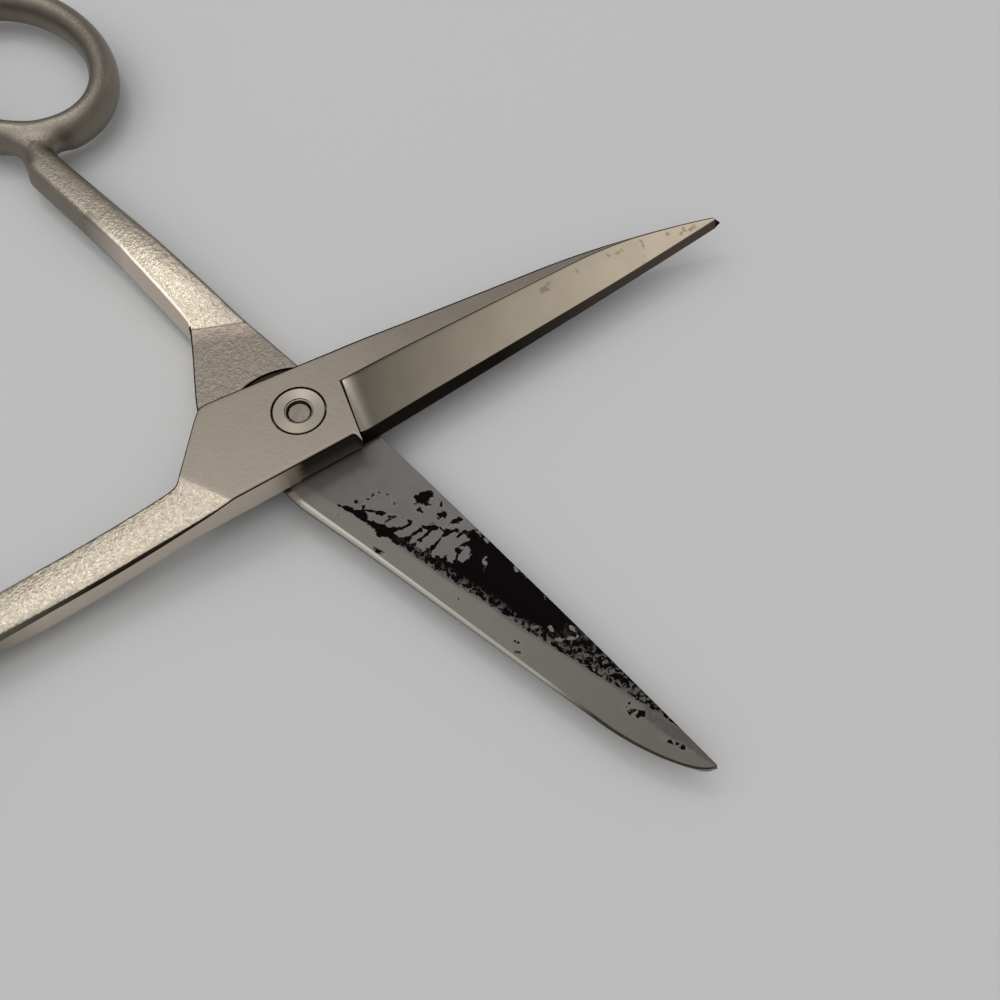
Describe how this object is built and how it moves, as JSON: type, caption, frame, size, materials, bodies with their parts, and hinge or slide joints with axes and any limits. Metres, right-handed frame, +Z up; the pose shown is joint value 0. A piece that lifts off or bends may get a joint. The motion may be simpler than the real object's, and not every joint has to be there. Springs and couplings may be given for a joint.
{
  "type": "scissors",
  "caption": "Household sewing scissors with pointed and blunt hollow-ground steel blades, slender forged shanks and oval finger bows, turning on a flush pin with a turned collar.",
  "frame": {"origin": "on the pivot axis, at the flat end of the pin's head, which is flush with the back half's outer face on the table", "axes": "+X along the line halfway between the open blades, towards the tips; +Y towards the tip of the front blade; +Z up along the pivot axis, from the back half to the front half"},
  "size_m": [0.1394, 0.167, 0.0105],
  "materials": {
    "front_steel": "satin",
    "back_steel": "worn satin with dark scale",
    "pin_steel": "dull",
    "collar_steel": "turned"
  },
  "bodies": {
    "back": {"back_half": "back_steel", "pivot_pin": "pin_steel", "pivot_collar": "collar_steel"},
    "front": {"front_half": "front_steel"}
  },
  "joints": [
    {"name": "pivot", "type": "hinge", "parent": "back", "child": "front", "pos_m": [0, 0, 0], "axis": [0, 0, 1], "range_deg": [-72.4, 45]}
  ]
}
